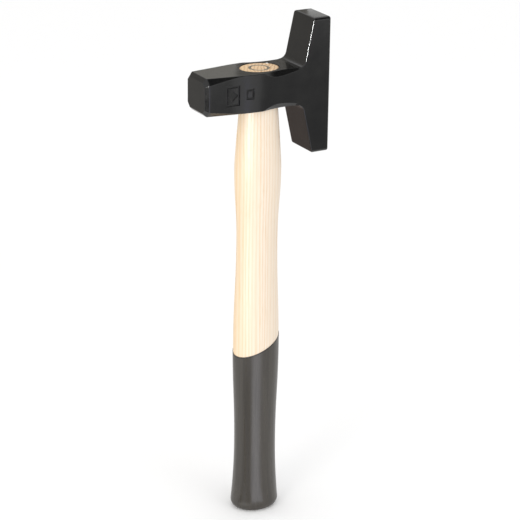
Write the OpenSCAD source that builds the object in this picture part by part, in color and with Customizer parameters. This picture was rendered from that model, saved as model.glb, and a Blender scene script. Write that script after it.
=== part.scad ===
// Hammer with a square flat face at one end and a broad upright face at the other.
// The handle stands along +Z with its butt on the origin, and the square face looks along -X.

/* [Head] */
// Length from the square face to the broad face
head_len = 87.2; // [76:0.2:110]
// Height of the head's body along the handle
body_h = 24; // [20:0.5:30]
// Width of the body beside the square face
body_w = 26.8; // [24:0.2:34]
// How far each cheek stands out at the eye
cheek_rise = 1.6; // [0.4:0.1:4]
// Length of the swelling of the cheeks
cheek_len = 46; // [36:1:56]
// Width of the long chamfers at the square face
chamfer = 4; // [2:0.25:6]
// Bevel round the square face
face_bevel = 2.2; // [0.5:0.1:3]
// Depth of the scallops between the eye and the broad face
scallop = 1.5; // [0.5:0.1:3]

/* [Broad face] */
// Height of the broad face along the handle
broad_h = 86.5; // [70:0.5:110]
// Width of the broad face
broad_w = 25; // [20:0.5:26]
// How far the middle of the broad face sits below the middle of the body
broad_drop = 1.2; // [-3:0.1:3]
// Thickness of the arms at their tips
tip_t = 12; // [8:0.5:16]
// Thickness of the upper arm where it leaves the body
root_t = 18.4; // [16:0.2:22]
// Thickness of the lower arm where it leaves the body
root_low_t = 19.4; // [16:0.2:22]
// Fillet between the arms and the body
root_fillet = 5; // [2:0.5:8]
// Rounding of the corners of the broad face
corner_r = 2; // [0.5:0.25:4]
// Rounding of the edges of the broad face
edge_r = 1.2; // [0.4:0.1:2]

/* [Eye and wedge] */
// Long diameter of the eye at the top of the head
eye_top = 25.6; // [22:0.2:27]
// Long diameter of the eye at the bottom of the head
eye_bottom = 25; // [22:0.2:27]
// Outer diameter of the ring wedge at its top
ring_d = 13.2; // [10:0.2:16]
// Wall of the ring wedge at its top
ring_wall = 1.4; // [1:0.1:2.5]
// Length of the ring wedge
ring_len = 14; // [8:0.5:18]
// Taper of the ring wedge over its length, on the radius
ring_taper = 0.8; // [0.2:0.1:0.9]

/* [Handle] */
// Height of the top of the head above the end of the handle
handle_len = 300; // [265:5:360]
// Thickness of the handle for each unit of its width
oval = 0.84; // [0.7:0.02:1]
// Width of the handle at the rounded butt
butt_w = 31.6; // [26:0.2:38]
// Width at the hollow above the butt
heel_w = 27.4; // [24:0.2:34]
// Height of the hollow above the butt
heel_z = 48; // [40:1:60]
// Width at the swell of the grip
grip_w = 30.4; // [25:0.2:36]
// Height of the swell of the grip
grip_z = 116; // [100:1:130]
// Width at the waist
waist_w = 27; // [24:0.2:34]
// Distance of the waist below the top of the head
waist_drop = 111; // [105:1:130]
// Width at the swell below the head
neck_w = 30.5; // [29:0.2:34]
// Distance of that swell below the top of the head
neck_drop = 65; // [55:1:80]
// Radius of the shoulder that runs up into the eye
neck_r = 100; // [60:5:200]
// Rounding of the end of the handle
butt_r = 4.5; // [2:0.5:8]

/* [Grip coat] */
// Thickness of the dipped coat
coat_t = 0.3; // [0.2:0.05:1]
// Height of the edge of the coat on the handle's axis
dip_z = 117; // [60:1:150]
// Slope of the edge of the coat
dip_tilt = 24; // [0:1:40]
// Direction in which the edge of the coat rises
dip_turn = 10; // [0:5:360]

/* [Hidden] */
$fn = 96;
big = 400;
// Flats in each curve of the outlines
arc_steps = 10;
curve_steps = 6;
butt_steps = 5;
scallop_steps = 14;
// Clearance between the wood and the eye, and between the wood and the ring
eye_fit = 0.05;
ring_fit = 0.03;
// Distance of the wood and the ring below the top of the head
recess = 0.3;
// Where the swelling of the cheeks is widest
cheek_x = -4;
// Half length, middle and tilt of the scallops
scallop_half = 13;
scallop_x = 13;
scallop_tilt = 58;
// Depth, line and places of the stamps in the near cheek
stamp_depth = 0.35;
stamp_line = 0.8;
frame_w = 9.2;
frame_h = 12.4;
frame_x = -25.2;
mark_d = 4.6;
mark_h = 5.8;
mark_x = -13.7;

head_top = handle_len;
head_bottom = head_top - body_h;
head_mid = head_top - body_h / 2;
face_x = -head_len / 2;
broad_x = head_len / 2;
broad_mid = head_mid - broad_drop;
broad_top = broad_mid + broad_h / 2;
broad_bottom = broad_mid - broad_h / 2;
tip_x = broad_x - tip_t;
root_x = broad_x - root_t;
root_low_x = broad_x - root_low_t;
neck_z = head_top - neck_drop;
waist_z = head_top - waist_drop;
cheek_half = cheek_len / 2;
// Where the long chamfers run out, at the start of the cheeks
runout_x = cheek_x - cheek_len / 8;
eye_top_r = eye_top / 2;
eye_bottom_r = eye_bottom / 2;
ring_top_r = ring_d / 2;
ring_bottom_r = ring_top_r - ring_taper;
ring_bore_r = ring_top_r - ring_wall;
ring_top_z = head_top - recess;
ring_bottom_z = ring_top_z - ring_len;

// Points of an arc, as x and y pairs
function arc(x, y, r, from, to, steps) =
    [for (i = [0 : steps]) let (a = from + (to - from) * i / steps) [x + r * cos(a), y + r * sin(a)]];

// Half width of the body at x: a straight side with a soft swelling at the eye
function side_half(x) = body_w / 2 + (broad_w - body_w) / 2 * (x - face_x) / head_len;
function body_half(x) =
    side_half(x) + s_radius(min(abs(x - cheek_x), cheek_half), 0, cheek_rise, cheek_half, 0);

// Rectangle with rounded corners, centred
module round_rect(w, h, r) {
    square([w - 2 * r, h], center = true);
    square([w, h - 2 * r], center = true);
    for (x = [-1, 1], y = [-1, 1])
        translate([x * (w / 2 - r), y * (h / 2 - r)])
            circle(r);
}

// Side view of the broad face and its two tapering arms
module broad_side() {
    up = head_top;
    low = head_bottom;
    slope_up = atan2(tip_x - root_x, broad_top - up);
    slope_low = atan2(tip_x - root_low_x, low - broad_bottom);
    // Centres of the two root fillets, each tangent to the body and to an arm
    fillet_up = root_x - root_fillet * (1 - sin(slope_up)) / cos(slope_up);
    fillet_low = root_low_x - root_fillet * (1 - sin(slope_low)) / cos(slope_low);
    upper = arc(fillet_up, up + root_fillet, root_fillet, -90, -slope_up, arc_steps);
    lower = arc(fillet_low, low - root_fillet, root_fillet, slope_low, 90, arc_steps);
    tip_up = arc(tip_x + edge_r, broad_top - edge_r, edge_r, 180 - slope_up, 90, arc_steps);
    tip_low = arc(tip_x + edge_r, broad_bottom + edge_r, edge_r, 270, 180 + slope_low, arc_steps);
    out_up = arc(broad_x - edge_r, broad_top - edge_r, edge_r, 90, 0, arc_steps);
    out_low = arc(broad_x - edge_r, broad_bottom + edge_r, edge_r, 0, -90, arc_steps);
    polygon(concat(upper, tip_up, out_up, out_low, tip_low, lower));
}

// Broad face with its arms, rounded along every edge
module broad_end() {
    span = broad_x - min(root_x, root_low_x) + 4 * root_fillet;
    intersection() {
        rotate([90, 0, 0])
            linear_extrude(height = broad_w, center = true)
                broad_side();
        translate([broad_x - span, 0, broad_mid])
            rotate([90, 0, 90])
                linear_extrude(height = span)
                    round_rect(broad_w, broad_h, corner_r);
        translate([broad_x - span / 2, 0, broad_bottom])
            linear_extrude(height = broad_h)
                round_rect(span, broad_w, edge_r);
    }
}

// Swelling on a straight side: an arc over the eye and a hollow arc at each end, all tangent
module cheek_bump() {
    r = (cheek_half * cheek_half + cheek_rise * cheek_rise) / (4 * cheek_rise);
    root = body_w / 4;
    intersection() {
        translate([0, cheek_rise - r])
            circle(r, $fn = 720);
        translate([-cheek_half / 2, -root])
            square([cheek_half, root + cheek_rise + 1]);
    }
    for (end = [0, 1])
        mirror([end, 0])
            difference() {
                translate([cheek_half / 2, -root])
                    square([cheek_half / 2, root + cheek_rise / 2]);
                translate([cheek_half, r])
                    circle(r, $fn = 720);
            }
}

// Body from the square face to the broad face, seen from above
module body_plan() {
    end_x = broad_x - root_t / 2;
    polygon([
        [face_x, -side_half(face_x)],
        [end_x, -side_half(end_x)],
        [end_x, side_half(end_x)],
        [face_x, side_half(face_x)]
    ]);
    for (side = [0, 1])
        mirror([0, side])
            translate([cheek_x, side_half(cheek_x)])
                rotate(atan((broad_w - body_w) / 2 / head_len))
                    cheek_bump();
}

// Bevels round the square face, one for each side of its octagon
module face_bevels() {
    corner = (body_w / 2 + body_h / 2 - chamfer) / sqrt(2);
    dist = [body_h / 2, corner, body_w / 2, corner, body_h / 2, corner, body_w / 2, corner];
    for (k = [0 : 7])
        translate([face_x, 0, head_mid])
            rotate([45 * k, 0, 0])
                translate([0, 0, dist[k] - face_bevel])
                    rotate([0, -45, 0])
                        translate([-body_w / 2, -body_w, 0])
                            cube([body_w, 2 * body_w, body_w / 2]);
}

// Long chamfer on one upper edge, widest at the square face and gone at the cheek
module long_chamfer() {
    run = runout_x - face_x;
    rise = chamfer + body_half(runout_x) - body_w / 2;
    translate([face_x, body_w / 2, body_h / 2 - chamfer])
        rotate([-45, 0, 0])
            rotate([0, -atan2(rise, run * sqrt(2)), 0])
                translate([-chamfer, -body_w, 0])
                    cube([run + 2 * chamfer, 2 * body_w, body_w / 2]);
}

// Scallop on one upper edge, between the eye and the broad face
module edge_scallop() {
    r = (scallop_half * scallop_half + scallop * scallop) / (2 * scallop);
    reach = scallop_half * 1.5;
    half_angle = asin(reach / r);
    hollow = arc(0, r - scallop, r, -90 - half_angle, -90 + half_angle, scallop_steps);
    translate([scallop_x, body_half(scallop_x), body_h / 2])
        rotate([-scallop_tilt, 0, 0])
            rotate([90, 0, 0])
                linear_extrude(height = body_w, center = true)
                    polygon(concat(hollow, [[reach, body_w / 2], [-reach, body_w / 2]]));
}

module body() {
    difference() {
        translate([0, 0, head_bottom])
            linear_extrude(height = body_h)
                body_plan();
        face_bevels();
        for (side = [0, 1], end = [0, 1])
            translate([0, 0, head_mid])
                mirror([0, side, 0])
                    mirror([0, 0, end]) {
                        long_chamfer();
                        edge_scallop();
                    }
    }
}

// Turns an outline in two halves and flattens it to the handle's oval
module turned(outline) {
    for (side = [0, 1])
        mirror([0, side, 0])
            scale([1, oval, 1])
                rotate_extrude(angle = 180, $fn = 180)
                    polygon(outline);
}

// Oval eye, a little wider at the top
module eye() {
    over = 1;
    grow = (eye_top_r - eye_bottom_r) / body_h * over;
    turned([
        [0, head_bottom - over],
        [eye_bottom_r - grow, head_bottom - over],
        [eye_top_r + grow, head_top + over],
        [0, head_top + over]
    ]);
}

// Sinks a flat pattern into the near cheek at x
module stamp_at(x) {
    translate([x, stamp_depth - body_half(x), head_mid])
        rotate([90, 0, 0])
            linear_extrude(height = body_w)
                children();
}

// Plain stamps in the near cheek: a framed lozenge, and a small upright frame
module stamps() {
    stamp_at(frame_x) {
        difference() {
            square([frame_w, frame_h], center = true);
            square([frame_w - 2 * stamp_line, frame_h - 2 * stamp_line], center = true);
        }
        rotate(45)
            square(mark_d, center = true);
    }
    stamp_at(mark_x)
        difference() {
            square([mark_d, mark_h], center = true);
            square([mark_d - 2 * stamp_line, mark_h - 2 * stamp_line], center = true);
        }
}

module head() {
    color("dimgray")
        difference() {
            union() {
                body();
                broad_end();
            }
            eye();
            stamps();
        }
}

// Radius of a curve at z, between two heights: an arc out of each end, tangent in the middle
function s_radius(z, z1, r1, z2, r2) =
    let (
        span = z2 - z1,
        step = abs(r2 - r1),
        r = (span * span + step * step) / (4 * max(step, 0.01)),
        to_wide = r1 > r2 ? z - z1 : z2 - z,
        away = min(to_wide, span - to_wide),
        dip = r - sqrt(r * r - away * away)
    )
    to_wide < span / 2 ? max(r1, r2) - dip : min(r1, r2) + dip;

// Points of such a curve, without its upper end
function s_curve(z1, r1, z2, r2) =
    [for (i = [0 : curve_steps - 1])
        let (z = z1 + (z2 - z1) * i / curve_steps)
        [s_radius(z, z1, r1, z2, r2), z]];

// Rounded butt and the flare up to the hollow above it, without the hollow itself
function butt_curve(r_heel, r_butt, z_end) =
    let (
        low = z_end + butt_r,
        span = heel_z - low,
        step = r_butt - r_heel,
        r = (span * span + step * step) / (2 * max(abs(step), 0.01)),
        flare = [for (i = [1 : curve_steps - 1])
            let (z = low + span * i / curve_steps, up = heel_z - z)
            [r_heel + sign(step) * (r - sqrt(r * r - up * up)), z]]
    )
    concat(arc(r_butt - butt_r, low, butt_r, -90, 0, butt_steps), flare);

// Shoulder from the swell below the head into the eye
function neck_curve() =
    let (
        r_eye = eye_bottom_r - eye_fit,
        cx = neck_w / 2 - neck_r,
        reach = norm([r_eye - cx, head_bottom - neck_z]),
        a = atan2(head_bottom - neck_z, r_eye - cx) - acos(neck_r / reach)
    )
    arc(cx, neck_z, neck_r, 0, a, butt_steps);

// Outline of the handle from its end up to the swell below the head, grown by the given thickness
function lower_curve(grow) =
    concat(
        butt_curve(heel_w / 2 + grow, butt_w / 2 + grow, coat_t - grow),
        s_curve(heel_z, heel_w / 2 + grow, grip_z, grip_w / 2 + grow),
        s_curve(grip_z, grip_w / 2 + grow, waist_z, waist_w / 2 + grow)
    );

// Bare wood from the butt to the top of the tenon
module wood() {
    tenon = [
        [eye_bottom_r - eye_fit, head_bottom],
        [eye_top_r - eye_fit, head_top - recess],
        [0, head_top - recess]
    ];
    turned(concat(
        [[0, coat_t]],
        lower_curve(0),
        s_curve(waist_z, waist_w / 2, neck_z, neck_w / 2),
        neck_curve(),
        tenon
    ));
}

// Space that the ring wedge takes, with the given gap round it
module ring_solid(gap) {
    translate([0, 0, ring_bottom_z])
        difference() {
            cylinder(h = ring_len, r1 = ring_bottom_r + gap, r2 = ring_top_r + gap);
            translate([0, 0, -1])
                cylinder(h = ring_len + 2, r = ring_bore_r - gap);
        }
}

module handle() {
    color("burlywood")
        difference() {
            wood();
            ring_solid(ring_fit);
        }
}

module ring_wedge() {
    color("silver")
        ring_solid(0);
}

// Dipped coat on the end of the handle, cut off along a sloping plane
module grip_coat() {
    color("gray")
        difference() {
            turned(concat([[0, 0]], lower_curve(coat_t), [[waist_w / 2 + coat_t, waist_z], [0, waist_z]]));
            wood();
            translate([0, 0, dip_z])
                rotate([0, 0, dip_turn])
                    rotate([0, -dip_tilt, 0])
                        translate([-big / 2, -big / 2, 0])
                            cube(big);
        }
}

head();
handle();
ring_wedge();
grip_coat();
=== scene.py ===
# Blacksmith's flatting hammer: a lacquered forged head, an ash handle, a ring wedge and a dipped grip.
import math

import bmesh
import bpy
from mathutils import Matrix, Vector


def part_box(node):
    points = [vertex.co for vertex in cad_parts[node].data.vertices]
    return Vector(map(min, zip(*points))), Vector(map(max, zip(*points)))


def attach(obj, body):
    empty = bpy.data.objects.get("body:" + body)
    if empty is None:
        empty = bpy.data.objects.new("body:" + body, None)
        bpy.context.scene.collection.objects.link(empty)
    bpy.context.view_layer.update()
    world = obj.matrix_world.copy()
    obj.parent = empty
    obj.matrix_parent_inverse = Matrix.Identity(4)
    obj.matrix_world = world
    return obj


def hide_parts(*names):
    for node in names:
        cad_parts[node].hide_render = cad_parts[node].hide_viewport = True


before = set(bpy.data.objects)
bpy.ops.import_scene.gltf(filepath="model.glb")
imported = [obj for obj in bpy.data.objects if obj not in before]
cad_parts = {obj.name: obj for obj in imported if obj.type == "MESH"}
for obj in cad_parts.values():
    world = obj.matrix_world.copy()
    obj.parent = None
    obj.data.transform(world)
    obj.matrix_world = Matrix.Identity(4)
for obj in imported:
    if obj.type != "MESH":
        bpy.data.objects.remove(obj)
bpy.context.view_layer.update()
mm = 0.001
over = 1 * mm  # how far a cutter runs past what it cuts
touch = 0.1 * mm  # points closer than this lie at the same place
noiseLow, noiseHigh = 0.3, 0.7  # most of a noise's values lie between these
print("frame loaded:", sorted(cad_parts))

headLow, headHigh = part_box("head")
woodLow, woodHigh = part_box("handle")
ringLow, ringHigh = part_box("ring_wedge")
coatLow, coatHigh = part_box("grip_coat")
tenonBelow = 0.3 * mm  # the handle's tenon ends this far below the top of the head
headTop = woodHigh.z + tenonBelow


def toLinear(hexColour):
    # sRGB hex to the linear colour a shader wants
    values = [int(hexColour[i:i + 2], 16) / 255 for i in (1, 3, 5)]
    linear = [v / 12.92 if v <= 0.04045 else ((v + 0.055) / 1.055) ** 2.4 for v in values]
    return (*linear, 1.0)


def addNode(tree, kind, settings=None, links=None, stops=()):
    # settings are the node's own, links are its inputs: a socket to link or a value to set
    # stops are a colour ramp's, in rising order: a place, and a hex colour or a grey
    made = tree.nodes.new(kind)
    for key, value in (settings or {}).items():
        setattr(made, key, value)
    for key, value in (links or {}).items():
        if isinstance(value, bpy.types.NodeSocket):
            tree.links.new(value, made.inputs[key])
        else:
            made.inputs[key].default_value = value
    for i, (place, colour) in enumerate(stops):
        elements = made.color_ramp.elements
        element = elements[i] if i < 2 else elements.new(place)
        element.position = place
        element.color = toLinear(colour) if isinstance(colour, str) else (colour, colour, colour, 1.0)
    return made


def newObject(name, data):
    made = bpy.data.objects.new(name, data)
    bpy.context.scene.collection.objects.link(made)
    return made


def declare(piece, node):
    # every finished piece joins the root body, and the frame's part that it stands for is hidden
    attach(piece, "root")
    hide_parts(node)


def toMesh(bm, name):
    bmesh.ops.recalc_face_normals(bm, faces=bm.faces)
    mesh = bpy.data.meshes.new(name)
    bm.to_mesh(mesh)
    bm.free()
    return mesh


def skin(rings, name):
    # closed rings of points, one after another, joined by quads and capped
    bm = bmesh.new()
    made = [[bm.verts.new(p) for p in ring] for ring in rings]
    for low, high in zip(made, made[1:]):
        for i in range(len(low)):
            j = (i + 1) % len(low)
            bm.faces.new((low[i], low[j], high[j], high[i]))
    bm.faces.new(list(reversed(made[0])))
    bm.faces.new(made[-1])
    return toMesh(bm, name)


def roundedCorner(before, corner, after, reach, steps=4):
    # a soft corner of a profile: it leaves and meets the two sides at the given reach
    tip = Vector(corner)
    start = tip + (Vector(before) - tip).normalized() * reach
    end = tip + (Vector(after) - tip).normalized() * reach
    points = []
    for k in range(steps + 1):
        t = k / steps
        points.append(start * (1 - t) ** 2 + tip * 2 * t * (1 - t) + end * t * t)
    return points


def plainMesh(piece):
    # a new mesh of the piece with its modifiers on it
    graph = bpy.context.evaluated_depsgraph_get()
    return bpy.data.meshes.new_from_object(piece.evaluated_get(graph))


def settle(piece):
    # puts what the modifiers make into the piece's own mesh, and takes them off
    made, old = plainMesh(piece), piece.data
    piece.modifiers.clear()
    piece.data = made
    bpy.data.meshes.remove(old)


def combine(piece, cutter, operation):
    tool = newObject("tool", cutter)
    step = piece.modifiers.new("combine", "BOOLEAN")
    step.operation = operation
    step.solver = "EXACT"
    step.object = tool
    settle(piece)
    bpy.data.objects.remove(tool)
    bpy.data.meshes.remove(cutter)


def softShading(piece, angle):
    # smooth everywhere but on edges sharper than the angle, with the flats kept flat
    bm = bmesh.new()
    bm.from_mesh(piece.data)
    for face in bm.faces:
        face.smooth = True
    for edge in bm.edges:
        edge.smooth = edge.is_manifold and edge.calc_face_angle() < math.radians(angle)
    bm.to_mesh(piece.data)
    bm.free()
    flats = piece.modifiers.new("flats", "WEIGHTED_NORMAL")
    flats.keep_sharp = True
    flats.weight = 100
    settle(piece)


head = {
    "bodyHeight": 24 * mm,
    "bodyWidth": 26.8 * mm,  # at the square face
    "cheekRise": 1.6 * mm,  # how far the cheek swells over the eye
    "cheekLength": 46 * mm,
    "cheekMiddle": -4 * mm,
    "chamfer": 4 * mm,  # the octagonal neck's long corners
    "faceBevel": 2.2 * mm,
    "scallop": 1.5 * mm,  # the hollow ground into each long corner beside the broad face
    "scallopHalf": 13 * mm,
    "scallopMiddle": 13 * mm,
    "scallopTilt": 58,  # how steep it is, in degrees from level
    "scallopReach": 1.5,  # how far the scallop's arc runs on, in half lengths
    "edgeRound": 0.55 * mm,
    "faceRound": 0.9 * mm,
    "stationStep": 1.5 * mm,  # between the body's sections
    "bodyInto": 4 * mm,  # how far the body runs on into the broad face
    "broadWidth": 25 * mm,
    "tip": 12 * mm,  # thickness of the broad face at its two ends
    "root": 18.4 * mm,  # and where its arms leave the body, above and below
    "rootLow": 19.4 * mm,
    "rootFillet": 5 * mm,
    "cornerRound": 2 * mm,
    "tipRound": 1.2 * mm,
    "eyeTop": 25.6 * mm,  # the eye's length at the top and the bottom
    "eyeBottom": 25 * mm,
    "eyeOval": 0.84,  # its width for each unit of length, and the handle's
    "eyeLip": 0.45 * mm,
    "eyeSides": 144,
    "mouthDepth": 0.09 * mm,  # the corner that the eye's rounded lip is drawn about
    "mouthFlare": 0.045 * mm,
    "crease": 40,  # edges sharper than this many degrees stay sharp
    "stampDepth": 0.55 * mm,
    "stampDraft": 0.3 * mm,
    "stampOver": 1.5 * mm,
    # each plain mark: its place along the cheek, width, height, line width and turn in degrees
    "stamps": [
        (-25.2 * mm, 9.4 * mm, 12.6 * mm, 1.3 * mm, 0),
        (-25.2 * mm, 4.8 * mm, 4.8 * mm, 0, 45),
        (-13.7 * mm, 5.2 * mm, 6.6 * mm, 1.3 * mm, 0),
    ],
}

faceX, broadX = headLow.x, headHigh.x
headBottom = headTop - head["bodyHeight"]
headMiddle = (headTop + headBottom) / 2
cheekHalf = head["cheekLength"] / 2
runoutX = head["cheekMiddle"] - head["cheekLength"] / 8  # where the long chamfers run out


def sideHalf(x):
    # half width of the straight side, from the square face to the broad face
    share = (x - faceX) / (broadX - faceX)
    return (head["bodyWidth"] + (head["broadWidth"] - head["bodyWidth"]) * share) / 2


def bodyHalf(x):
    # the cheek: an arc over the eye and a hollow arc at each end
    away = min(abs(x - head["cheekMiddle"]), cheekHalf)
    radius = (cheekHalf ** 2 + head["cheekRise"] ** 2) / (4 * head["cheekRise"])
    near = min(away, cheekHalf - away)
    dip = radius - math.sqrt(radius * radius - near * near)
    swell = head["cheekRise"] - dip if away < cheekHalf / 2 else dip
    return sideHalf(x) + swell


def cornerPlane(x):
    # the plane that cuts a long corner at x: the angle of its normal, and its distance
    half = head["bodyHeight"] / 2
    tilt = math.radians(90 - head["scallopTilt"])
    if x < runoutX:
        start = head["bodyWidth"] / 2 + half - head["chamfer"]
        end = bodyHalf(runoutX) + half
        reach = start + (end - start) * (x - faceX) / (runoutX - faceX)
        return math.radians(45), reach / math.sqrt(2)
    radius = (head["scallopHalf"] ** 2 + head["scallop"] ** 2) / (2 * head["scallop"])
    along = x - head["scallopMiddle"]
    depth = head["scallop"] - radius + math.sqrt(radius * radius - along * along)
    out = bodyHalf(head["scallopMiddle"]) * math.cos(tilt) + half * math.sin(tilt) - depth
    turned = head["scallopMiddle"] - head["scallopReach"] * head["scallopHalf"]
    blend = min(1, (x - runoutX) / (turned - runoutX))
    return math.radians(45) + (tilt - math.radians(45)) * blend, out


def bodySection(x, inset):
    # the body cut across at x: each long corner is two small arcs about the cut's two ends
    rounding = head["edgeRound"]
    wide = bodyHalf(max(x, faceX)) - inset - rounding
    high = head["bodyHeight"] / 2 - inset - rounding
    angle, distance = cornerPlane(x)
    distance -= inset + rounding
    lowZ = min(high, (distance - wide * math.cos(angle)) / math.sin(angle))
    topY = min(wide, (distance - high * math.sin(angle)) / math.cos(angle))
    corner, steps = [], 3
    for centre, start, end in (((wide, lowZ), 0, angle), ((topY, high), angle, math.pi / 2)):
        for k in range(steps + 1):
            a = start + (end - start) * k / steps
            corner.append((centre[0] + rounding * math.cos(a), centre[1] + rounding * math.sin(a)))
    ring = corner + [(-y, z) for y, z in reversed(corner)]
    ring += [(-y, -z) for y, z in corner] + [(y, -z) for y, z in reversed(corner)]
    return [(x, y, headMiddle + z) for y, z in ring]


def makeBody():
    bevel, soft = head["faceBevel"], head["faceRound"] * math.tan(math.radians(22.5))
    # x and inset over the square face's bevel, with a soft corner at each end of it
    face, edge = (faceX, bevel), (faceX + bevel, 0)
    profile = roundedCorner((faceX, 2 * bevel), face, edge, soft)
    profile += roundedCorner(face, edge, (0, 0), soft)
    rings = [bodySection(x, inset) for x, inset in profile]
    end = broadX - head["root"] + head["bodyInto"]
    start = profile[-1][0]
    count = round((end - start) / head["stationStep"])
    rings += [bodySection(start + (end - start) * k / count, 0) for k in range(1, count + 1)]
    return skin(rings, "body")


def arcPoints(cx, cz, r, start, end, steps=10):
    angles = [math.radians(start + (end - start) * k / steps) for k in range(steps + 1)]
    return [(cx + r * math.cos(a), cz + r * math.sin(a)) for a in angles]


def makeBroadFace():
    # side view of the arms with their root fillets, drawn as an outline and given its width
    up, low, r = headTop, headBottom, head["rootFillet"]
    top, bottom = headHigh.z, headLow.z
    tipX, rootX, rootLowX = (broadX - head[k] for k in ("tip", "root", "rootLow"))
    leanUp = math.atan2(tipX - rootX, top - up)
    leanLow = math.atan2(tipX - rootLowX, low - bottom)
    filletUp = rootX - r * (1 - math.sin(leanUp)) / math.cos(leanUp)
    filletLow = rootLowX - r * (1 - math.sin(leanLow)) / math.cos(leanLow)
    outline = arcPoints(filletUp, up + r, r, -90, -math.degrees(leanUp))
    outline += [(tipX, top), (broadX, top), (broadX, bottom), (tipX, bottom)]
    outline += arcPoints(filletLow, low - r, r, math.degrees(leanLow), 90)
    bm = bmesh.new()
    sides = [[bm.verts.new((x, side * sideHalf(x), z)) for x, z in outline] for side in (-1, 1)]
    bm.faces.new(sides[0])
    bm.faces.new(list(reversed(sides[1])))
    count = len(outline)
    weight = bm.edges.layers.float.new("bevel_weight_edge")
    for i in range(count):
        j = (i + 1) % count
        bm.faces.new((sides[0][j], sides[0][i], sides[1][i], sides[1][j]))
    widest = head["cornerRound"]
    filletStart = filletLow + 0.5 * mm  # edges before it lie inside the body
    for edge in bm.edges:
        a, b = (v.co for v in edge.verts)
        middle, along = (a + b) / 2, (b - a).normalized()
        atTip = min(abs(middle.z - top), abs(middle.z - bottom)) < touch
        onSide = abs(along.y) < 0.5
        if atTip and onSide:
            edge[weight] = 1.0
        elif atTip or (onSide and abs(middle.x - broadX) < touch):
            edge[weight] = head["tipRound"] / widest
        elif onSide and middle.x > filletStart:
            edge[weight] = head["edgeRound"] / widest
    broad = newObject("broad", toMesh(bm, "broad"))
    rounding = broad.modifiers.new("rounding", "BEVEL")
    rounding.limit_method = "WEIGHT"
    rounding.width = widest
    rounding.segments = 5
    rounding.use_clamp_overlap = False
    settle(broad)
    mesh = broad.data
    bpy.data.objects.remove(broad)
    return mesh


def ovalRings(levels):
    # rings about the handle's axis, each a height and a half width
    sides = head["eyeSides"]
    turns = [2 * math.pi * k / sides for k in range(sides)]
    return [
        [(r * math.cos(a), r * math.sin(a) * head["eyeOval"], z) for a in turns]
        for z, r in levels
    ]


def makeEye():
    # the cutter for the eye: a tapering oval that flares round a soft lip at each end
    lip = head["eyeLip"]
    low, lowHalf = headBottom, head["eyeBottom"] / 2
    high, highHalf = headTop, head["eyeTop"] / 2
    under, above = (low - over, lowHalf + lip + over), (high + over, highHalf + lip + over)
    lowCorner = (low + head["mouthDepth"], lowHalf + head["mouthFlare"])
    highCorner = (high - head["mouthDepth"], highHalf + head["mouthFlare"])
    levels = [under, *roundedCorner(under, lowCorner, (high, highHalf), lip)]
    levels += [*roundedCorner((low, lowHalf), highCorner, above, lip), above]
    return skin(ovalRings(levels), "eye")


def stampLoop(width, height, x, y, turn):
    points = [(-width, -height), (width, -height), (width, height), (-width, height)]
    c, s = math.cos(turn), math.sin(turn)
    return [Vector((x + (u * c - v * s) / 2, y, headMiddle + (u * s + v * c) / 2)) for u, v in points]


def makeStamp(x, width, height, line, turn):
    # the cutter for a punched mark with sloping walls: a frame when it has a line, solid when it hasn't
    floor, outside = -(bodyHalf(x) - head["stampDepth"]), -(bodyHalf(x) + head["stampOver"])
    narrow = head["stampDraft"]
    wide = 4 * narrow  # the walls slope on to the loops outside the cheek
    loops = [stampLoop(width - narrow, height - narrow, x, floor, turn),
             stampLoop(width + wide, height + wide, x, outside, turn)]
    if line:
        inWidth, inHeight = width - 2 * line, height - 2 * line
        loops += [stampLoop(inWidth - wide, inHeight - wide, x, outside, turn),
                  stampLoop(inWidth + narrow, inHeight + narrow, x, floor, turn)]
    bm = bmesh.new()
    made = [[bm.verts.new(p) for p in loop] for loop in loops]
    pairs = list(zip(made, made[1:] + made[:1])) if line else [(made[0], made[1])]
    for low, high in pairs:
        for i in range(4):
            j = (i + 1) % 4
            bm.faces.new((low[i], low[j], high[j], high[i]))
    if not line:
        bm.faces.new(made[0])
        bm.faces.new(made[1])
    return toMesh(bm, "stamp")


def joinSlivers(mesh):
    # the union leaves the flats above and below in slivers: they become whole again
    level, slack = 0.9999, math.radians(0.2)
    bm = bmesh.new()
    bm.from_mesh(mesh)
    flat = {f for f in bm.faces if abs(f.normal.z) > level}
    edges = [e for e in bm.edges if not flat.isdisjoint(e.link_faces)]
    corners = [v for v in bm.verts if not flat.isdisjoint(v.link_faces)]
    bmesh.ops.dissolve_limit(bm, angle_limit=slack, edges=edges, verts=corners)
    bm.to_mesh(mesh)
    bm.free()


def makeHead():
    piece = newObject("forged_head", makeBody())
    combine(piece, makeBroadFace(), "UNION")
    joinSlivers(piece.data)
    combine(piece, makeEye(), "DIFFERENCE")
    for x, width, height, line, turn in head["stamps"]:
        combine(piece, makeStamp(x, width, height, line, math.radians(turn)), "DIFFERENCE")
    softShading(piece, head["crease"])
    return piece


handle = {
    "sides": 144,
    "spineStep": 1.5 * mm,
    "endLevels": 8,  # the rounded end is over by this many levels of the outline
    "pocketGap": 0.12 * mm,
    "pocketSides": 96,
    "topRound": 0.5 * mm,
    "endUp": 0.4,  # a face that looks up by more than this shows end grain
    "crease": 50,
}


def outlineOf(node):
    # height and half width of a turned node, read where its outline lies
    widest = {}
    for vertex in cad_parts[node].data.vertices:
        x, y, z = vertex.co
        if abs(y) < 0.01 * mm and x > 0:
            key = round(z, 6)
            widest[key] = max(widest.get(key, 0), x)
    return sorted(widest.items())


def newTree(name, inputs, output):
    # an empty Geometry Nodes tree with its named inputs, each with its kind of socket
    tree = bpy.data.node_groups.new(name, "GeometryNodeTree")
    for label, kind in inputs:
        tree.interface.new_socket(label, in_out="INPUT", socket_type="NodeSocket" + kind)
    tree.interface.new_socket(output, in_out="OUTPUT", socket_type="NodeSocketGeometry")
    return tree, addNode(tree, "NodeGroupInput").outputs


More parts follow.
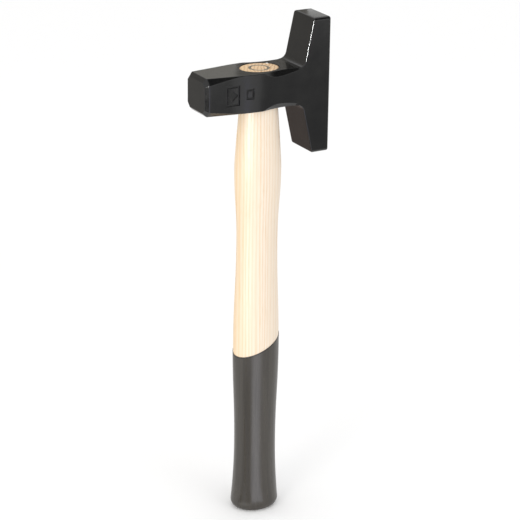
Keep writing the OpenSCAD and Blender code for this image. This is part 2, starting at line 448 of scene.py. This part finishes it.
def ovalSweepGroup():
    # the handle's rule: an oval swept up the axis, as wide at each height as the spine says
    tree, given = newTree("oval sweep", [("Spine", "Geometry"), ("Oval", "Float"), ("Sides", "Int")], "Mesh")
    circle = addNode(tree, "GeometryNodeCurvePrimitiveCircle", links={
        "Resolution": given["Sides"], "Radius": 1.0})
    flatten = addNode(tree, "ShaderNodeCombineXYZ", links={"X": 1.0, "Y": given["Oval"], "Z": 1.0})
    oval = addNode(tree, "GeometryNodeTransform", links={
        "Geometry": circle.outputs["Curve"], "Scale": flatten.outputs[0]})
    width = addNode(tree, "GeometryNodeInputNamedAttribute", {"data_type": "FLOAT"}, {"Name": "radius"})
    swept = addNode(tree, "GeometryNodeCurveToMesh", links={
        "Curve": given["Spine"], "Profile Curve": oval.outputs[0],
        "Scale": width.outputs["Attribute"], "Fill Caps": True})
    addNode(tree, "NodeGroupOutput", links={"Mesh": swept.outputs["Mesh"]})
    return tree


def handleTree(sweepGroup):
    # the sweep, with the pocket that the ring wedge splits open in the end grain
    tree, given = newTree("turned handle", [
        ("Geometry", "Geometry"), ("Oval", "Float"), ("Pocket top", "Float"), ("Pocket depth", "Float"),
        ("Pocket outer top", "Float"), ("Pocket outer bottom", "Float"), ("Pocket core", "Float"),
        ("Sides", "Int"), ("Pocket sides", "Int"), ("Wood", "Material"), ("End grain", "Material"),
    ], "Geometry")
    swept = addNode(tree, "GeometryNodeGroup", {"node_tree": sweepGroup}, {
        "Spine": given["Geometry"], "Oval": given["Oval"], "Sides": given["Sides"]})
    cone = addNode(tree, "GeometryNodeMeshCone", links={
        "Vertices": given["Pocket sides"], "Radius Top": given["Pocket outer top"],
        "Radius Bottom": given["Pocket outer bottom"], "Depth": given["Pocket depth"]})
    core = addNode(tree, "GeometryNodeMeshCylinder", links={
        "Vertices": given["Pocket sides"], "Radius": given["Pocket core"], "Depth": 1.0})
    ring = addNode(tree, "GeometryNodeMeshBoolean", {"operation": "DIFFERENCE", "solver": "EXACT"}, {
        "Mesh 1": cone.outputs["Mesh"], "Mesh 2": core.outputs["Mesh"]})
    base = addNode(tree, "ShaderNodeMath", {"operation": "SUBTRACT"}, {
        0: given["Pocket top"], 1: given["Pocket depth"]})
    lift = addNode(tree, "ShaderNodeCombineXYZ", links={"Z": base.outputs[0]})
    placed = addNode(tree, "GeometryNodeTransform", links={
        "Geometry": ring.outputs["Mesh"], "Translation": lift.outputs[0]})
    cut = addNode(tree, "GeometryNodeMeshBoolean", {"operation": "DIFFERENCE", "solver": "EXACT"}, {
        "Mesh 1": swept.outputs["Mesh"], "Mesh 2": placed.outputs["Geometry"]})
    real = addNode(tree, "GeometryNodeRealizeInstances", links={"Geometry": cut.outputs["Mesh"]})
    wooden = addNode(tree, "GeometryNodeSetMaterial", links={
        "Geometry": real.outputs["Geometry"], "Material": given["Wood"]})
    normal = addNode(tree, "ShaderNodeSeparateXYZ", links={
        "Vector": addNode(tree, "GeometryNodeInputNormal").outputs[0]})
    upward = addNode(tree, "FunctionNodeCompare", {"operation": "GREATER_THAN"}, {
        0: normal.outputs["Z"], 1: handle["endUp"]})
    ended = addNode(tree, "GeometryNodeSetMaterial", links={
        "Geometry": wooden.outputs["Geometry"], "Selection": upward.outputs[0],
        "Material": given["End grain"]})
    addNode(tree, "NodeGroupOutput", links={"Geometry": ended.outputs["Geometry"]})
    return tree


def smoothed(points, step):
    # a smooth curve through the points: its slope at each is a mean of the chords beside it
    rise = [(b[1] - a[1]) / (b[0] - a[0]) for a, b in zip(points, points[1:])]
    slopes = [rise[0]]
    for i in range(1, len(points) - 1):
        before, after = points[i][0] - points[i - 1][0], points[i + 1][0] - points[i][0]
        slopes.append((rise[i - 1] * after + rise[i] * before) / (before + after))
    slopes.append(rise[-1])
    made = [points[0]]
    for i, (a, b) in enumerate(zip(points, points[1:])):
        span = b[0] - a[0]
        count = max(1, round(span / step))
        for k in range(1, count + 1):
            t = k / count
            bend = (slopes[i] * (1 - t) - slopes[i + 1] * t) * span + (b[1] - a[1]) * (2 * t - 1)
            made.append((a[0] + span * t, a[1] + (b[1] - a[1]) * t + t * (1 - t) * bend))
    return made


def lowerOutline():
    # the rounded end and the curves above it, up to where the wood enters the head
    read = [p for p in outlineOf("handle") if p[0] < headBottom + touch]
    flat = read[0][1]
    widest = max(r for z, r in read[:handle["endLevels"]])
    start = next(i for i, (z, r) in enumerate(read) if r == widest)
    rounding = widest - flat
    butt = arcPoints(flat, read[0][0] + rounding, rounding, -90, 0, steps=12)
    return [(z, r) for r, z in butt[:-1]] + smoothed(read[start:], handle["spineStep"])


def makeSpine(name, outline):
    curve = bpy.data.curves.new(name, "CURVE")
    curve.dimensions = "3D"
    line = curve.splines.new("POLY")
    line.points.add(len(outline) - 1)
    for point, (z, r) in zip(line.points, outline):
        point.co = (0, 0, z, 1)
        point.radius = r
    return newObject(name, curve)


def grow(spine, tree, values):
    # runs a tree on the spine and hands back the plain mesh
    step = spine.modifiers.new("grow", "NODES")
    step.node_group = tree
    for item in tree.interface.items_tree:
        if item.item_type == "SOCKET" and item.in_out == "INPUT" and item.name in values:
            step[item.identifier] = values[item.name]
    mesh = plainMesh(spine)
    bpy.data.objects.remove(spine)
    return mesh


def boreOf(node):
    # the smallest distance from the axis that a turned node reaches
    return min(math.hypot(v.co.x, v.co.y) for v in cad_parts[node].data.vertices)


def makeHandle(materials):
    outline = lowerOutline()
    top, wide = outlineOf("handle")[-1]
    outline += roundedCorner(outline[-1], (top, wide), (top, 0), handle["topRound"])
    gap = handle["pocketGap"]
    length = ringHigh.z - ringLow.z
    taper = ring["taper"] / length  # the ring's own taper, carried up past its top
    outer = ringHigh.x + gap
    mesh = grow(makeSpine("spine", outline), handleTree(ovalSweepGroup()), {
        "Oval": head["eyeOval"], "Sides": handle["sides"], "Pocket sides": handle["pocketSides"],
        "Pocket top": ringHigh.z + over, "Pocket depth": length + over,
        "Pocket outer top": outer + taper * over, "Pocket outer bottom": outer - taper * length,
        "Pocket core": boreOf("ring_wedge") - gap,
        "Wood": materials[0], "End grain": materials[1],
    })
    piece = newObject("ash_handle", mesh)
    softShading(piece, handle["crease"])
    return piece


ring = {
    "rim": 0.3 * mm,
    "sides": 128,
    "taper": 0.8 * mm,  # how much smaller its radius is at the bottom
    "crease": 50,
}


def makeRing():
    outer, bore, soft = ringHigh.x, boreOf("ring_wedge"), ring["rim"]
    low, high, thin = ringLow.z, ringHigh.z, ringHigh.x - ring["taper"]
    corners = [(thin, low), (outer, high), (bore, high), (bore, low)]
    profile = []
    for i, corner in enumerate(corners):
        profile += roundedCorner(corners[i - 1], corner, corners[(i + 1) % 4], soft)
    turns = [2 * math.pi * k / ring["sides"] for k in range(ring["sides"])]
    bm = bmesh.new()
    made = [[bm.verts.new((r * math.cos(a), r * math.sin(a), z)) for r, z in profile] for a in turns]
    for i, here in enumerate(made):
        there = made[(i + 1) % len(made)]
        for j in range(len(profile)):
            k = (j + 1) % len(profile)
            bm.faces.new((here[j], there[j], there[k], here[k]))
    piece = newObject("ring_wedge_turned", toMesh(bm, "ring"))
    softShading(piece, ring["crease"])
    return piece


coat = {
    "edgeHeight": 117 * mm,  # on the handle's axis
    "edgeTilt": 24,  # how steep the dip's edge is, and which way it turns
    "edgeTurn": 10,
    "spare": 10 * mm,  # how far past its top the coat is swept before the cut
    "weld": 0.08 * mm,
    "lip": 0.13 * mm,
    "lipFrom": 60,  # only edges this sharp are rounded
    "crease": 60,
}


def coatTree(sweepGroup):
    # the handle's sweep again, in lacquer
    tree, given = newTree("dipped coat", [
        ("Geometry", "Geometry"), ("Oval", "Float"), ("Sides", "Int"), ("Lacquer", "Material")], "Geometry")
    swept = addNode(tree, "GeometryNodeGroup", {"node_tree": sweepGroup}, {
        "Spine": given["Geometry"], "Oval": given["Oval"], "Sides": given["Sides"]})
    real = addNode(tree, "GeometryNodeRealizeInstances", links={"Geometry": swept.outputs["Mesh"]})
    lacquered = addNode(tree, "GeometryNodeSetMaterial", links={
        "Geometry": real.outputs["Geometry"], "Material": given["Lacquer"]})
    addNode(tree, "NodeGroupOutput", links={"Geometry": lacquered.outputs["Geometry"]})
    return tree


def dipNormal():
    # which way the sloping plane of the dip faces
    turn, tilt = math.radians(coat["edgeTurn"]), math.radians(coat["edgeTilt"])
    return Vector((-math.sin(tilt) * math.cos(turn), -math.sin(tilt) * math.sin(turn), math.cos(tilt)))


def makeCoat(sweepGroup, material):
    # the sweep is cut along the sloping edge of the dip and given its thickness
    outline = [(z, r) for z, r in lowerOutline() if z < coatHigh.z + coat["spare"]]
    mesh = grow(makeSpine("coat spine", outline), coatTree(sweepGroup), {
        "Oval": head["eyeOval"], "Sides": handle["sides"], "Lacquer": material})
    bm = bmesh.new()
    bm.from_mesh(mesh)
    bmesh.ops.bisect_plane(bm, geom=[*bm.verts, *bm.edges, *bm.faces], dist=0.01 * mm,
                           plane_co=(0, 0, coat["edgeHeight"]), plane_no=dipNormal(), clear_outer=True)
    bmesh.ops.remove_doubles(bm, verts=bm.verts, dist=coat["weld"])
    bmesh.ops.recalc_face_normals(bm, faces=bm.faces)
    bm.to_mesh(mesh)
    bm.free()
    piece = newObject("dipped_coat", mesh)
    wall = piece.modifiers.new("wall", "SOLIDIFY")
    wall.thickness = woodLow.z - coatLow.z
    wall.offset = 1
    wall.use_even_offset = True
    lip = piece.modifiers.new("lip", "BEVEL")
    lip.width = coat["lip"]
    lip.segments = 3
    lip.limit_method = "ANGLE"
    lip.angle_limit = math.radians(coat["lipFrom"])
    settle(piece)
    softShading(piece, coat["crease"])
    return piece


def newMaterial(name):
    material = bpy.data.materials.new(name)
    material.use_nodes = True
    material.node_tree.nodes.clear()
    return material, material.node_tree


def addSurface(tree, inputs):
    # the shader that ends a material: its inputs are sockets, or values that are the same all over
    surface = addNode(tree, "ShaderNodeBsdfPrincipled", links=inputs)
    addNode(tree, "ShaderNodeOutputMaterial", links={"Surface": surface.outputs[0]})


lacquer = {
    "forgeGrain": 9 * mm,  # the unevenness that the forging dies leave
    "peel": 0.9 * mm,  # the lacquer's orange peel
    "wearReach": 0.7 * mm,
    "chips": 2.4 * mm,  # real ones are finer: this is as coarse as they need to be to show
    "colours": [(0.3, "#0b0b0c"), (0.7, "#111110")],
    "worn": "#1e1c1a",
    "wornWhere": [(0.72, 1.0), (0.9, 0.0)],  # from the dot product of the rounded normal and the real one
    "chipped": [(0.46, 0.0), (0.54, 1.0)],
    "gloss": (0.13, 0.18),  # the least and most roughness
    "wornDulls": 0.35,
    "bump": 0.03 * mm,
}


def lacqueredForgedSteel():
    # black stoving lacquer over drop-forged steel: deep and glossy, faintly uneven, rubbed thin at edges
    material, tree = newMaterial("lacquered forged steel")
    where = addNode(tree, "ShaderNodeTexCoord").outputs["Object"]
    forged = addNode(tree, "ShaderNodeTexNoise", links={
        "Vector": where, "Scale": 1 / lacquer["forgeGrain"], "Detail": 4.0, "Roughness": 0.55})
    peel = addNode(tree, "ShaderNodeTexNoise", links={
        "Vector": where, "Scale": 1 / lacquer["peel"], "Detail": 2.0})
    colour = addNode(tree, "ShaderNodeValToRGB", links={"Fac": forged.outputs["Fac"]},
                     stops=lacquer["colours"])
    # the lacquer is thin over an edge: where a rounded normal leaves the real one
    rounded = addNode(tree, "ShaderNodeBevel", {"samples": 4}, {"Radius": lacquer["wearReach"]})
    real = addNode(tree, "ShaderNodeNewGeometry")
    turned = addNode(tree, "ShaderNodeVectorMath", {"operation": "DOT_PRODUCT"}, {
        0: rounded.outputs[0], 1: real.outputs["True Normal"]})
    edge = addNode(tree, "ShaderNodeValToRGB", links={"Fac": turned.outputs["Value"]},
                   stops=lacquer["wornWhere"])
    chips = addNode(tree, "ShaderNodeTexNoise", links={
        "Vector": where, "Scale": 1 / lacquer["chips"], "Detail": 2.0})
    rubbed = addNode(tree, "ShaderNodeValToRGB", links={"Fac": chips.outputs["Fac"]},
                     stops=lacquer["chipped"])
    wear = addNode(tree, "ShaderNodeMath", {"operation": "MULTIPLY"}, {
        0: edge.outputs["Color"], 1: rubbed.outputs["Color"]})
    shade = addNode(tree, "ShaderNodeMix", {"data_type": "RGBA"}, {
        0: wear.outputs[0], 6: colour.outputs["Color"], 7: toLinear(lacquer["worn"])})
    glossy, dull = lacquer["gloss"]
    rough = addNode(tree, "ShaderNodeMapRange", links={
        "Value": forged.outputs["Fac"], "From Min": noiseLow, "From Max": noiseHigh,
        "To Min": glossy, "To Max": dull})
    roughened = addNode(tree, "ShaderNodeMath", {"operation": "MULTIPLY_ADD"}, {
        0: wear.outputs[0], 1: lacquer["wornDulls"], 2: rough.outputs[0]})
    # the forging is three times as deep as the peel, and so is what the wear takes off
    height = addNode(tree, "ShaderNodeMath", {"operation": "MULTIPLY_ADD"}, {
        0: forged.outputs["Fac"], 1: 3.0, 2: peel.outputs["Fac"]})
    worn = addNode(tree, "ShaderNodeMath", {"operation": "MULTIPLY_ADD"}, {
        0: wear.outputs[0], 1: -3.0, 2: height.outputs[0]})
    bump = addNode(tree, "ShaderNodeBump", links={
        "Height": worn.outputs[0], "Strength": 0.3, "Distance": lacquer["bump"]})
    addSurface(tree, {"Base Color": shade.outputs[2], "Roughness": roughened.outputs[0],
                      "Normal": bump.outputs[0], "IOR": 1.5})
    return material


ash = {
    "stretch": 0.03,  # the figure's scale up the handle against its scale across
    "wanderEvery": 7 * mm,
    "wander": 3.6 * mm,
    "heart": (54 * mm, -30 * mm, 0),  # the middle of the tree, off to one side
    "yearWidth": 2.0 * mm,
    "fibre": 0.55 * mm,
    "patchEvery": 14 * mm,
    "warmFrom": 58 * mm,  # from the heart
    "warmTo": 78 * mm,
    "warmMost": 0.6,
    "colours": [(0.0, "#d6b896"), (0.16, "#e1ccb2"), (0.5, "#e6dacc"), (1.0, "#dfcfbb")],
    "plain": "#e2d3c0",
    "endColours": [(0.0, "#b98a5a"), (0.2, "#dcb486"), (0.6, "#efd0a6"), (1.0, "#e4c095")],
    "fade": 0.6,  # how far the patches hide the figure, on the side and on the end
    "endFade": 0.1,
    "pore": "#d2b48c",
    "endPore": "#8a5c36",
    "early": [(0.0, 1.0), (0.35, 0.25), (1.0, 0.35)],  # a year's pores crowd into its early wood
    "pores": [(0.34, 1.0), (0.52, 0.0)],
    # painted shade in the gaps beside the ring and along the eye's rim
    "rimShade": "#6b4a2c",
    "rimShadeReach": 0.35 * mm,
    "rimShadeByRing": 0.6,  # how dark it is at most
    "rimShadeByRim": 0.85,
    "warm": "#ebcb9b",
    "satin": (0.52, 0.66),  # the roughness of the varnish, and of an open pore
    "bump": 0.04 * mm,
}


def paintRimShade(tree, where, colour):
    # painted shade: the end grain is darkened in the gaps beside the ring and along the eye's rim, where
    # shade falls between the parts
    reach = ash["rimShadeReach"]
    outer, inner = ringHigh.x, boreOf("ring_wedge")
    level = addNode(tree, "ShaderNodeMapping", links={"Vector": where, "Scale": (1, 1, 0)})
    away = addNode(tree, "ShaderNodeVectorMath", {"operation": "LENGTH"}, {0: level.outputs[0]})
    fromRing = addNode(tree, "ShaderNodeMath", {"operation": "SUBTRACT"}, {
        0: away.outputs["Value"], 1: (outer + inner) / 2})
    aside = addNode(tree, "ShaderNodeMath", {"operation": "ABSOLUTE"}, {0: fromRing.outputs[0]})
    byRing = addNode(tree, "ShaderNodeMapRange", links={
        "Value": aside.outputs[0], "From Min": (outer - inner) / 2 + reach,
        "From Max": (outer - inner) / 2 + 0.4 * reach, "To Max": ash["rimShadeByRing"]})
    ovalled = addNode(tree, "ShaderNodeMapping", links={
        "Vector": where, "Scale": (1, 1 / head["eyeOval"], 0)})
    out = addNode(tree, "ShaderNodeVectorMath", {"operation": "LENGTH"}, {0: ovalled.outputs[0]})
    byRim = addNode(tree, "ShaderNodeMapRange", links={
        "Value": out.outputs["Value"], "From Min": head["eyeTop"] / 2 - 2 * reach,
        "From Max": head["eyeTop"] / 2 - 0.8 * reach, "To Max": ash["rimShadeByRim"]})
    most = addNode(tree, "ShaderNodeMath", {"operation": "MAXIMUM"}, {
        0: byRing.outputs[0], 1: byRim.outputs[0]})
    return addNode(tree, "ShaderNodeMix", {"data_type": "RGBA"}, {
        0: most.outputs[0], 6: colour.outputs[2], 7: toLinear(ash["rimShade"])})


def ashWood(name, endGrain):
    # ring-porous ash, turned, sanded and varnished: cream with fine tan growth lines running up the handle
    material, tree = newMaterial(name)
    where = addNode(tree, "ShaderNodeTexCoord").outputs["Object"]
    along = 1.0 if endGrain else ash["stretch"]
    colours, poreColour = (ash["endColours"], ash["endPore"]) if endGrain else (ash["colours"], ash["pore"])
    drawn = addNode(tree, "ShaderNodeMapping", links={"Vector": where, "Scale": (1, 1, ash["stretch"])})
    wander = addNode(tree, "ShaderNodeTexNoise", links={
        "Vector": drawn.outputs[0], "Scale": 1 / ash["wanderEvery"], "Detail": 3.0})
    shift = addNode(tree, "ShaderNodeVectorMath", {"operation": "SCALE"}, {
        0: wander.outputs["Color"], "Scale": ash["wander"]})
    bent = addNode(tree, "ShaderNodeVectorMath", {"operation": "ADD"}, {
        0: drawn.outputs[0], 1: shift.outputs[0]})
    heart = addNode(tree, "ShaderNodeVectorMath", {"operation": "SUBTRACT"}, {
        0: bent.outputs[0], 1: ash["heart"]})
    level = addNode(tree, "ShaderNodeVectorMath", {"operation": "MULTIPLY"}, {
        0: heart.outputs[0], 1: (1, 1, 0)})
    radius = addNode(tree, "ShaderNodeVectorMath", {"operation": "LENGTH"}, {0: level.outputs[0]})
    year = addNode(tree, "ShaderNodeMath", {"operation": "MULTIPLY"}, {
        0: radius.outputs["Value"], 1: 1 / ash["yearWidth"]})
    season = addNode(tree, "ShaderNodeMath", {"operation": "FRACT"}, {0: year.outputs[0]})
    grain = addNode(tree, "ShaderNodeValToRGB", links={"Fac": season.outputs[0]}, stops=colours)
    # open pores: short dark dashes on the side, dots on the end
    fine = addNode(tree, "ShaderNodeMapping", links={"Vector": where, "Scale": (1, 1, along)})
    fibre = addNode(tree, "ShaderNodeTexNoise", links={
        "Vector": fine.outputs[0], "Scale": 1 / ash["fibre"], "Detail": 3.0, "Roughness": 0.6})
    early = addNode(tree, "ShaderNodeValToRGB", links={"Fac": season.outputs[0]}, stops=ash["early"])
    pores = addNode(tree, "ShaderNodeValToRGB", links={"Fac": fibre.outputs["Fac"]}, stops=ash["pores"])
    openPores = addNode(tree, "ShaderNodeMath", {"operation": "MULTIPLY"}, {
        0: early.outputs["Color"], 1: pores.outputs["Color"]})
    darkened = addNode(tree, "ShaderNodeMix", {"data_type": "RGBA"}, {
        0: openPores.outputs[0], 6: grain.outputs["Color"], 7: toLinear(poreColour)})
    # broad patches where the figure fades, and a warmer tone away from the heart
    patch = addNode(tree, "ShaderNodeTexNoise", links={
        "Vector": drawn.outputs[0], "Scale": 1 / ash["patchEvery"], "Detail": 1.0})
    faded = addNode(tree, "ShaderNodeMapRange", links={
        "Value": patch.outputs["Fac"], "From Min": 0.4, "From Max": 0.6,
        "To Min": 0.0, "To Max": ash["endFade"] if endGrain else ash["fade"]})
    plain = addNode(tree, "ShaderNodeMix", {"data_type": "RGBA"}, {
        0: faded.outputs[0], 6: darkened.outputs[2], 7: toLinear(ash["plain"])})
    warm = addNode(tree, "ShaderNodeMapRange", links={
        "Value": radius.outputs["Value"], "From Min": ash["warmFrom"], "From Max": ash["warmTo"],
        "To Max": ash["warmMost"]})
    toned = addNode(tree, "ShaderNodeMix", {"data_type": "RGBA"}, {
        0: warm.outputs[0], 6: plain.outputs[2], 7: toLinear(ash["warm"])})
    # painted shade in the end grain beside the ring and at the eye's rim
    if endGrain:
        toned = paintRimShade(tree, where, toned)
    bump = addNode(tree, "ShaderNodeBump", {"invert": True}, {
        "Height": openPores.outputs[0], "Strength": 0.35, "Distance": ash["bump"]})
    varnished, bare = ash["satin"]
    rough = addNode(tree, "ShaderNodeMapRange", links={
        "Value": openPores.outputs[0], "To Min": varnished, "To Max": bare})
    addSurface(tree, {"Base Color": toned.outputs[2], "Roughness": rough.outputs[0],
                      "Normal": bump.outputs[0], "IOR": 1.5})
    return material


steel = {
    "marks": 0.8 * mm,
    "colours": [(0.3, "#7a7366"), (0.65, "#b0aa9c")],
    "gloss": (0.5, 0.36),  # the roughness of its dark and its bright marks
    "bump": 0.05 * mm,
}


def turnedSteel():
    # plain mild steel, turned and hammered home: grey-brown and dull, with fine marks
    material, tree = newMaterial("turned mild steel")
    where = addNode(tree, "ShaderNodeTexCoord").outputs["Object"]
    marks = addNode(tree, "ShaderNodeTexNoise", links={
        "Vector": where, "Scale": 1 / steel["marks"], "Detail": 4.0})
    colour = addNode(tree, "ShaderNodeValToRGB", links={"Fac": marks.outputs["Fac"]}, stops=steel["colours"])
    dark, bright = steel["gloss"]
    rough = addNode(tree, "ShaderNodeMapRange", links={
        "Value": marks.outputs["Fac"], "From Min": noiseLow, "From Max": noiseHigh,
        "To Min": dark, "To Max": bright})
    bump = addNode(tree, "ShaderNodeBump", links={
        "Height": marks.outputs["Fac"], "Strength": 0.3, "Distance": steel["bump"]})
    addSurface(tree, {"Base Color": colour.outputs["Color"], "Roughness": rough.outputs[0],
                      "Normal": bump.outputs[0], "Metallic": 1.0})
    return material


dip = {
    "stretch": 0.03,  # the wood's grain, which shows faintly through
    "grain": 1.3 * mm,
    "lipShadeWidth": 0.9 * mm,
    "colours": [(0.35, "#332f2a"), (0.65, "#3d3933")],
    # painted shade: the dark band just under the dip's edge, where the lip shades the coat
    "rim": "#1b1815",
    "gloss": (0.34, 0.26),  # the roughness over the grain's low and high parts
    "bump": 0.05 * mm,
}


def dippedLacquer():
    # thick satin lacquer, dipped: an even warm grey, faintly grained, with painted shade in a thin dark band
    # just under its edge
    material, tree = newMaterial("dipped satin lacquer")
    where = addNode(tree, "ShaderNodeTexCoord").outputs["Object"]
    stretched = addNode(tree, "ShaderNodeMapping", links={
        "Vector": where, "Scale": (1, 1, dip["stretch"])})
    grain = addNode(tree, "ShaderNodeTexNoise", links={
        "Vector": stretched.outputs[0], "Scale": 1 / dip["grain"], "Detail": 3.0})
    colour = addNode(tree, "ShaderNodeValToRGB", links={"Fac": grain.outputs["Fac"]}, stops=dip["colours"])
    normal = dipNormal()
    # painted shade: a dark band just under the edge of the dip
    level = addNode(tree, "ShaderNodeVectorMath", {"operation": "DOT_PRODUCT"}, {0: where, 1: normal})
    edgeLevel = normal.z * coat["edgeHeight"]
    lipShadeMask = addNode(tree, "ShaderNodeMapRange", links={
        "Value": level.outputs["Value"], "From Min": edgeLevel - dip["lipShadeWidth"],
        "From Max": edgeLevel - 0.3 * dip["lipShadeWidth"]})
    shade = addNode(tree, "ShaderNodeMix", {"data_type": "RGBA"}, {
        0: lipShadeMask.outputs[0], 6: colour.outputs["Color"], 7: toLinear(dip["rim"])})
    dull, glossy = dip["gloss"]
    rough = addNode(tree, "ShaderNodeMapRange", links={
        "Value": grain.outputs["Fac"], "From Min": noiseLow, "From Max": noiseHigh,
        "To Min": dull, "To Max": glossy})
    bump = addNode(tree, "ShaderNodeBump", links={
        "Height": grain.outputs["Fac"], "Strength": 0.3, "Distance": dip["bump"]})
    addSurface(tree, {"Base Color": shade.outputs[2], "Roughness": rough.outputs[0],
                      "Normal": bump.outputs[0], "IOR": 1.5})
    return material


headPiece = makeHead()
headPiece.data.materials.append(lacqueredForgedSteel())
declare(headPiece, "head")
print("head:", len(headPiece.data.polygons), "faces")

handlePiece = makeHandle((ashWood("sanded ash", False), ashWood("ash end grain", True)))
declare(handlePiece, "handle")
print("handle:", len(handlePiece.data.polygons), "faces")

ringPiece = makeRing()
ringPiece.data.materials.append(turnedSteel())
declare(ringPiece, "ring_wedge")
print("ring wedge:", len(ringPiece.data.polygons), "faces")

coatPiece = makeCoat(bpy.data.node_groups["oval sweep"], dippedLacquer())
declare(coatPiece, "grip_coat")
print("grip coat:", len(coatPiece.data.polygons), "faces")


studio = {
    "floorHalf": 6.0,
    "floorColour": "#fafafa",
    "sky": 1.0,
    # place, size, power and colour of each soft box, all aimed at the head
    "boxes": {
        "back": ((1.0, 1.7, 1.05), (1.5, 0.9), 0.4, "#fffaf2"),
        "left": ((-1.5, -0.95, 0.50), (0.7, 0.5), 8, "#fffaf2"),
        "front": ((0.7, -2.0, 1.3), (1.2, 1.2), 5, "#ffffff"),
    },
    # cards that only show in gloss: place, half width, half depth, colour and glow
    "cards": {
        "upper": ((0.53, -0.59, 1.09), 0.42, 0.50, "#4a4a48", 1.0),
        "lower": ((-0.74, -0.42, 0.01), 0.34, 0.34, "#101010", 1.0),
        "side": ((0.62, -0.66, 0.01), 0.28, 0.40, "#b0b0b0", 1.0),
        "behind": ((-0.12, 0.42, 0.01), 0.2, 0.2, "#a4968f", 1.0),
        "backdrop": ((-0.17, 0.41, 0.33), 0.26, 0.28, "#b4b1ac", 1.0),
        "flagLeft": ((0.020, 0.118, 0.336), 0.026, 0.021, "#c8c5bd", 1.0),
        "flagRight": ((0.062, 0.094, 0.336), 0.024, 0.021, "#8e8b85", 1.0),
        "flagTip": ((0.107, 0.122, 0.383), 0.03, 0.018, "#c4c4c0", 1.0),
        "sheen": ((0.055, -0.86, 0.01), 0.125, 0.3, "#ccccf4", 4.2),
        "glint": ((-1.0, -0.62, 0.34), 0.1, 0.12, "#ffffff", 260.0),
    },
    "lying": 0.1,  # a card lower than this lies flat, its width across its bearing
    # the same round the handle, close to the floor: from and to which bearing, near and far, colour and glow
    "fans": {
        "band": (-120, -82, 0.02, 0.36, "#f4f6ff", 3.0),
        "dark": (-168, -122, 0.02, 0.36, "#6c6c6c", 1.0),
    },
    "fanHeight": 5 * mm,
    "fanSteps": 8,
}


def makeFloor():
    half = studio["floorHalf"]
    corners = ((-half, -half), (half, -half), (half, half), (-half, half))
    bm = bmesh.new()
    bm.faces.new([bm.verts.new((x, y, 0)) for x, y in corners])
    floor = newObject("floor", toMesh(bm, "floor"))
    material, tree = newMaterial("white studio paper")
    addSurface(tree, {"Base Color": toLinear(studio["floorColour"]), "Roughness": 0.9})
    floor.data.materials.append(material)


def facing(place, target):
    return (Vector(target) - Vector(place)).to_track_quat("-Z", "Y")


def makeLights():
    middle = (0, 0, headBottom)
    for name, (place, size, power, colour) in studio["boxes"].items():
        lamp = bpy.data.lights.new(name, "AREA")
        lamp.shape = "RECTANGLE"
        lamp.size, lamp.size_y = size
        lamp.energy = power
        lamp.color = toLinear(colour)[:3]
        light = newObject(name, lamp)
        light.matrix_world = Matrix.Translation(place) @ facing(place, middle).to_matrix().to_4x4()
        light.visible_camera = False


def addCard(name, corners, colour, glow):
    bm = bmesh.new()
    bm.faces.new([bm.verts.new(c) for c in corners])
    card = newObject("card_" + name, toMesh(bm, name))
    material, tree = newMaterial("card " + name)
    addSurface(tree, {"Base Color": toLinear("#000000"), "Emission Color": toLinear(colour),
                      "Emission Strength": glow, "Specular IOR Level": 0.0})
    card.data.materials.append(material)
    card.visible_camera = card.visible_diffuse = card.visible_shadow = False


def makeCards():
    middle = (0, 0, headMiddle)
    for name, (place, wide, deep, colour, glow) in studio["cards"].items():
        away = Vector(place)
        turn = facing(place, middle).to_matrix()
        if away.z < studio["lying"]:
            turn = Matrix.Rotation(math.atan2(away.y, away.x) - math.pi / 2, 3, "Z")
        corners = ((-wide, -deep, 0), (wide, -deep, 0), (wide, deep, 0), (-wide, deep, 0))
        addCard(name, [away + turn @ Vector(c) for c in corners], colour, glow)
    steps, z = studio["fanSteps"], studio["fanHeight"]
    for name, (start, end, near, far, colour, glow) in studio["fans"].items():
        bearings = [math.radians(start + (end - start) * k / steps) for k in range(steps + 1)]
        outer = [(far * math.cos(a), far * math.sin(a), z) for a in bearings]
        inner = [(near * math.cos(a), near * math.sin(a), z) for a in reversed(bearings)]
        addCard(name, outer + inner, colour, glow)


def makeWorld():
    world = bpy.data.worlds.new("studio")
    bpy.context.scene.world = world
    world.use_nodes = True
    background = world.node_tree.nodes["Background"]
    background.inputs["Color"].default_value = toLinear("#ffffff")
    background.inputs["Strength"].default_value = studio["sky"]


view = {
    "lens": 138.46,
    "sensor": 36,
    "azimuth": -29.32,  # angles in degrees
    "elevation": 20.74,
    "roll": 0.72,
    "distance": 1.27579,
    "target": (2.41 * mm, 0, 172.78 * mm),
}


def makeCamera():
    a, e, roll = (math.radians(view[k]) for k in ("azimuth", "elevation", "roll"))
    back = Vector((math.sin(a) * math.cos(e), -math.cos(a) * math.cos(e), math.sin(e)))
    right = (-back).cross(Vector((0, 0, 1))).normalized()
    up = right.cross(-back)
    x = right * math.cos(roll) + up * math.sin(roll)
    y = up * math.cos(roll) - right * math.sin(roll)
    lens = bpy.data.cameras.new("camera")
    lens.lens, lens.sensor_width = view["lens"], view["sensor"]
    lens.clip_end = 100
    camera = newObject("camera", lens)
    place = Vector(view["target"]) + back * view["distance"]
    camera.matrix_world = Matrix.Translation(place) @ Matrix((x, y, back)).transposed().to_4x4()
    bpy.context.scene.camera = camera


makeFloor()
makeWorld()
makeLights()
makeCards()
makeCamera()
bpy.context.scene.view_settings.view_transform = "Standard"
print("studio ready")
